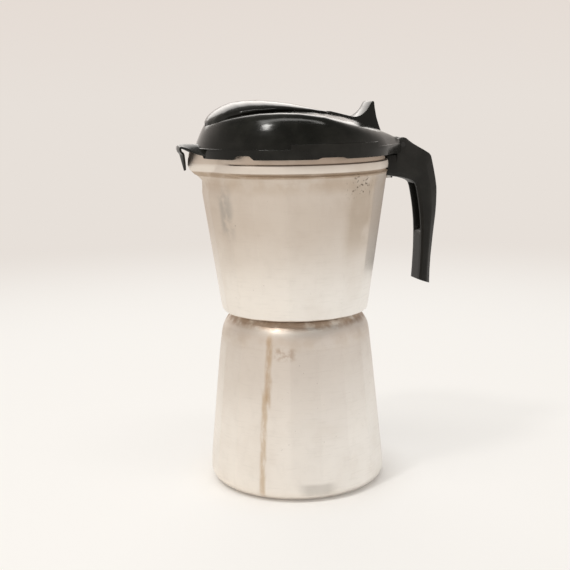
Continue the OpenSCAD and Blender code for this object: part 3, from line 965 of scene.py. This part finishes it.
def shape_skirt(x, y, z):
    """Draws the skirt up over the spout, and into shallow arches where the rim shows through."""
    fold = FLANGE_Z - 0.9
    if z > fold or math.hypot(x, y) < LID_R - 3:
        return x, y, z
    turn = math.degrees(math.atan2(y, x))
    lift = 0.0
    for middle, half, rise in SKIRT_ARCHES:
        off = abs((turn - middle + 180) % 360 - 180)
        lift = max(lift, rise * ease(half - off, 0, min(half * 0.8, 3)))
    return x, y, fold - (fold - z) * (1 - lift / (fold - SKIRT_Z))


lid_dome = shaped_grid("lid_dome", 288, 110, lid_surface)
tidy_mesh(lid_dome, merge=0.00002)
move_points(lid_dome, shape_skirt)
walled(lid_dome, LID_WALL)
ear_room = drum("ear_room", EAR_R + 0.65, (HINGE[0], -8.65, HINGE[1]), (HINGE[0], 8.65, HINGE[1]), 64)
cut(lid_dome, ear_room, solver="FAST")
smooth(lid_dome, 30)
finish_piece(lid_dome, "lid", "lid_plastic", lid_plastic, "lid_shell")

# %% [markdown]
# On each side a stretch of skirt is taller, and stands a little proud with a step at both ends. It is a thin
# band on the skirt's curve.

# %% Add the taller stretches of skirt
BAND_TOP = 213.2
BAND_SECTION = [(LID_R + 0.2, SKIRT_Z + 1.0), (LID_R + 0.5, BAND_TOP - 0.9), (LID_R + 0.3, BAND_TOP - 0.2),
                (LID_R - 0.3, BAND_TOP), (LID_R - 3.5, BAND_TOP - 0.4), (LID_R - 3.5, SKIRT_Z + 3),
                (LID_R + 0.2, SKIRT_Z + 1.0)]


def lid_band(name, start, end):
    """Bends the band's section round the lid between two angles in degrees."""
    sides = len(BAND_SECTION) - 1

    def surface(u, v):
        turn = math.radians(start + (end - start) * u)
        out, z = BAND_SECTION[round(v * sides)]
        return out * math.cos(turn), out * math.sin(turn), z
    piece = shaped_grid(name, 40, sides, surface)
    close_ends(piece)
    smooth(piece, 30)
    finish_piece(piece, "lid", "lid_plastic", lid_plastic)


lid_band("lid_band_front", -107, -51)
lid_band("lid_band_back", 51, 107)

# %% [markdown]
# ## The beak
# Over the spout the lid runs out into a beak: a roof with a ridge, a nose that rolls over, and a pointed tongue
# that hangs in front of the spout's lip and stops drips. One sheet is bent into all three, and then thickened.

# %% Model the beak
BEAK_WALL = 1.3


def beak_surface(u, v):
    """v runs from the skirt, over the roof and the nose, to the tongue's tip; u runs across."""
    across = 2 * u - 1
    x = between(v, [(0, -54), (0.45, -67.5), (0.55, -70.2), (0.62, -71.6), (0.68, -72.2), (0.74, -71.8),
                    (0.80, -70.6), (1, -68.2)])
    ridge = between(v, [(0, 212.2), (0.45, 212.9), (0.55, 212.8), (0.62, 212.0), (0.68, 210.2),
                        (0.74, 208.2), (0.80, 206.6), (1, 196.9)])
    half = between(v, [(0, 21), (0.25, 12.5), (0.45, 7.6), (0.68, 6.2), (0.80, 5.0), (1, 0.7)])
    fall = between(v, [(0, 6.4), (0.25, 4.8), (0.45, 2.2), (0.62, 0.8), (0.8, 0.0), (1, 0)])
    back = between(v, [(0, 0), (0.62, 0.2), (0.80, 1.2), (1, 0.5)])
    return (x + back * abs(across) ** 1.5, half * across, ridge - fall * abs(across) ** 1.3)


lid_beak = shaped_grid("lid_beak", 24, 64, beak_surface)
tidy_mesh(lid_beak, recalculate=False)
walled(lid_beak, BEAK_WALL)
tidy_mesh(lid_beak)
smooth(lid_beak, 40)
finish_piece(lid_beak, "lid", "lid_plastic", lid_plastic)

# %% [markdown]
# ## The crest
# The raised cap on the lid is streamlined, blunt over the spout and drawn out towards the hinge, and a groove
# runs round its foot.

# %% Measure the crest
CREST_NOSE = -54.6
CREST_END = 24.0
CREST_TOP = [(-54.6, 224.6), (-53.8, 226.4), (-52.4, 228.4), (-50.0, 230.6), (-47.5, 232.4), (-43.6, 234.6),
             (-38.6, 236.5), (-32, 237.6), (-23, 237.9), (-14, 237.3), (-5, 236.1), (5, 234.0),
             (12, 232.2), (18, 230.9), (24, 229.2)]
CREST_HALF = [(-54.6, 0), (-53.8, 6), (-51, 14), (-46, 20.5), (-38, 26), (-28, 28.5), (-18, 28.5),
              (-8, 26.5), (2, 22.5), (10, 18), (16, 13.5), (20, 10.5), (23, 6.5), (24, 0)]
print("the crest is", CREST_END - CREST_NOSE, "mm long")


# %% Model the crest
def crest_surface(u, v):
    """u runs from edge to edge across the crest, and v from its nose to its end."""
    run = (1 - math.cos(math.pi * v)) / 2
    x = CREST_NOSE + (CREST_END - CREST_NOSE) * run
    half = max(between(x, CREST_HALF), 0.01)
    across = (u * 2 - 1) / 0.9
    turn = min(max(across, -1), 1) * math.pi / 2
    y = half * math.sin(turn)
    edge = lid_top(x, y) + 1.3 * ease(x, -56, -46) * ease(x, 26, 16)
    top = max(between(x, CREST_TOP), edge)
    z = edge + (top - edge) * math.cos(turn) ** 1.15
    # Past its edge the cap is tucked in under itself, which leaves a dark groove round its foot
    tuck = max(abs(across) - 1, 0) * 9
    return x, y - math.copysign(min(1.5 * tuck, half), across), z - 3.2 * tuck


lid_crest = shaped_grid("lid_crest_cap", 96, 96, crest_surface)
tidy_mesh(lid_crest, merge=0.00003)
smooth(lid_crest, 60)
finish_piece(lid_crest, "lid", "lid_plastic", lid_plastic, "lid_crest")

# %% [markdown]
# ## The thumb lever
# A strip stands proud of the lid and sweeps up to a tab that a thumb pushes back. Its side outline is a face
# that is extruded across the lid, and then all its edges are rounded.

# %% Draw the thumb lever's side
LEVER_HALF = 8.3
lever_outline = [(16.5, 228.0), (17.5, 230.7), (22.0, 230.5), (28.0, 229.0), (34.0, 227.5), (36.8, 226.9),
                 (38.8, 226.9), (41.0, 227.5), (43.2, 228.8), (45.2, 230.6), (46.9, 232.9), (48.2, 235.2),
                 (49.3, 236.3), (50.2, 235.8), (50.6, 232.0), (51.6, 226.6), (53.2, 221.4), (54.8, 217.4),
                 (55.0, 213.0), (44.0, 213.0), (30.0, 219.0)]
print("the thumb lever's side has", len(lever_outline), "points")

# %% Extrude the thumb lever and round its edges
select_only()
bpy.ops.mesh.primitive_circle_add(vertices=len(lever_outline), radius=1, fill_type="NGON")
thumb_lever = named("thumb_tab")
for vertex, (x, z) in zip(thumb_lever.data.vertices, lever_outline):
    vertex.co = Vector((x, -LEVER_HALF, z)) * MM
bpy.ops.object.mode_set(mode="EDIT")
bpy.ops.mesh.select_all(action="SELECT")
bpy.ops.mesh.extrude_region_move(TRANSFORM_OT_translate={"value": (0, 2 * LEVER_HALF * MM, 0)})
bpy.ops.object.mode_set(mode="OBJECT")
tidy_mesh(thumb_lever)
bevelled(thumb_lever, 0.6, segments=3, angle=40)
smooth(thumb_lever, 30)
finish_piece(thumb_lever, "lid", "lid_plastic", lid_plastic, "thumb_lever")

# %% [markdown]
# The lid turns on a knuckle that sits on a short neck between the handle's ears. It is a drum joined to a block,
# with the pin's hole through both.

# %% Model the knuckle
KNUCKLE_HALF = 4
KNUCKLE_R = 4.0
KNUCKLE_BORE_R = 1.57
knuckle = drum("lid_knuckle", KNUCKLE_R, (HINGE[0], -KNUCKLE_HALF, HINGE[1]),
               (HINGE[0], KNUCKLE_HALF, HINGE[1]))
bevelled(knuckle, 0.4)
neck = block("lid_neck", (59, -KNUCKLE_HALF, HINGE[1] - 2.6), (HINGE[0], KNUCKLE_HALF, HINGE[1] + 3.2), 0.4)
pin_room = drum("pin_room", KNUCKLE_BORE_R, (HINGE[0], -20, HINGE[1]), (HINGE[0], 20, HINGE[1]), 32)
combine(knuckle, neck, "UNION")
cut(knuckle, pin_room)
smooth(knuckle, 30)
finish_piece(knuckle, "lid", "lid_plastic", lid_plastic)

# %% [markdown]
# ## The studio
# The floor is a pale disc of paper. It glows a little, and fully at its far edge, in the same tone as the air
# behind it, so that no horizon shows from any side. It doesn't glow right under the pot, where a real floor is
# in shadow.

# %% Make the floor
AIR_LOW = (0.800, 0.745, 0.695)
AIR_HIGH = (0.785, 0.715, 0.662)
PAPER = (0.94, 0.925, 0.905)
PAPER_NEAR = (0.95, 0.926, 0.888)
FLOOR_R = 2.6
select_only()
bpy.ops.mesh.primitive_circle_add(vertices=128, radius=FLOOR_R, fill_type="NGON",
                                  location=(0, 0, -0.0002))
studio_floor = named("studio_floor")
bpy.ops.object.transform_apply(location=True, rotation=True, scale=True)
floor_finish = Finish("studio_paper", roughness=0.95, Specular_IOR_Level=0.0)
away = floor_finish.math("SQRT", floor_finish.math(
    "ADD", floor_finish.math("MULTIPLY", floor_finish.x, floor_finish.x),
    floor_finish.math("MULTIPLY", floor_finish.y, floor_finish.y)))
glow = floor_finish.times(floor_finish.spread(away, 0.25, 1.10, 0.62, 1.0),
                          floor_finish.spread(away, 0.040, 0.085, 0.0, 1.0))
floor_tone = floor_finish.mix(glow, PAPER, (0.0, 0.0, 0.0))
glow_tone = floor_finish.mix(floor_finish.spread(away, 0.35, 1.10), PAPER_NEAR, AIR_LOW)
floor_finish.link(glow_tone, floor_finish.shader.inputs["Emission Color"])
floor_finish.link(glow, floor_finish.shader.inputs["Emission Strength"])
studio_floor.data.materials.append(floor_finish.end(floor_tone))
print("the floor is a disc of", FLOOR_R, "m")

# %% [markdown]
# Three lamps light the pot: a small bright one at the left, which gives the lid its highlight, a long bar above
# and in front, and a wide one behind, which draws the bright edges of the castings.

# %% Light the pot
AIM = Vector((0, 0, 0.12))


def soft_light(name, place, size, power, color):
    """A rectangular lamp that faces the middle of the pot."""
    data = bpy.data.lights.new(name, "AREA")
    data.shape = "RECTANGLE"
    data.size, data.size_y = size
    data.energy = power
    data.color = color
    light = bpy.data.objects.new(name, data)
    bpy.context.scene.collection.objects.link(light)
    light.location = place
    light.rotation_euler = (AIM - Vector(place)).to_track_quat("-Z", "Y").to_euler()
    print(name, "of", power, "W at", place)


soft_light("lamp_left", (-0.76, -0.42, 1.42), (0.18, 0.18), 6, (1.0, 0.98, 0.94))
soft_light("bar_above", (-0.10, -0.32, 1.45), (1.4, 0.22), 7, (1.0, 0.98, 0.94))
soft_light("lamp_behind", (0.2, 1.5, 1.0), (1.6, 0.9), 9, (1.0, 0.97, 0.93))

# %% [markdown]
# Metal shows what is around it, so the air is pale at the height of the pot, and darker overhead, which is what
# keeps a black lid black. Its tone follows the height of the direction that a ray leaves in.

# %% Fill the air
def fill_ramp(ramp, stops):
    """Sets a colour ramp's stops from (position, colour) pairs."""
    while len(ramp.elements) < len(stops):
        ramp.elements.new(0.5)
    for element, (position, tone) in zip(ramp.elements, stops):
        element.position = position
        element.color = (*tone, 1)


world = bpy.data.worlds.new("studio_air")
world.use_nodes = True
air = world.node_tree
background = air.nodes["Background"]
direction = air.nodes.new("ShaderNodeTexCoord")
split = air.nodes.new("ShaderNodeSeparateXYZ")
air.links.new(direction.outputs["Generated"], split.inputs[0])
tones = air.nodes.new("ShaderNodeValToRGB")
air.links.new(split.outputs[2], tones.inputs[0])
AIR_TONES = [(0.0, AIR_LOW), (0.10, AIR_HIGH), (0.42, AIR_HIGH), (0.66, (0.29, 0.28, 0.265)),
             (1.0, (0.24, 0.235, 0.225))]
fill_ramp(tones.color_ramp, AIR_TONES)
print("the air has", len(AIR_TONES), "tones")

# %% [markdown]
# White and grey cards stand round the pot, as in a product studio, so that each flat of the castings shows its
# own tone. The camera doesn't see them, and the Light Path node tells its rays from the others.

# %% Stand cards round the pot
def air_math(operation, a, b=0.0):
    step = air.nodes.new("ShaderNodeMath")
    step.operation = operation
    for socket, value in zip(step.inputs, (a, b)):
        if isinstance(value, (int, float)):
            socket.default_value = value
        else:
            air.links.new(value, socket)
    return step.outputs[0]


# Angles in degrees from the handle, and how bright the card is there
CARDS = [(-180, 1.02), (-174, 1.06), (-134, 1.16), (-94, 0.88), (-54, 0.97), (-14, 1.02), (26, 0.76),
         (66, 1.15), (106, 1.28), (146, 0.82), (180, 1.02)]
turn = air_math("ADD", air_math("DIVIDE", air_math("ARCTAN2", split.outputs[1], split.outputs[0]),
                                2 * math.pi), 0.5)
cards = air.nodes.new("ShaderNodeValToRGB")
air.links.new(turn, cards.inputs[0])
# A ramp holds no more than 1, so the brightness is halved here and doubled after it
fill_ramp(cards.color_ramp, [(angle / 360 + 0.5, (light_level / 2,) * 3) for angle, light_level in CARDS])
seen = air.nodes.new("ShaderNodeLightPath").outputs["Is Camera Ray"]
card_light = air_math("MULTIPLY", cards.outputs["Color"], 2.0)
level = air_math("ADD", card_light, air_math("MULTIPLY", seen, air_math("SUBTRACT", 1.0, card_light)))
air.links.new(level, background.inputs["Strength"])
air.links.new(tones.outputs["Color"], background.inputs["Color"])
bpy.context.scene.world = world
bpy.context.scene.view_settings.view_transform = "Standard"
print("the world's air and", len(CARDS), "cards are set")
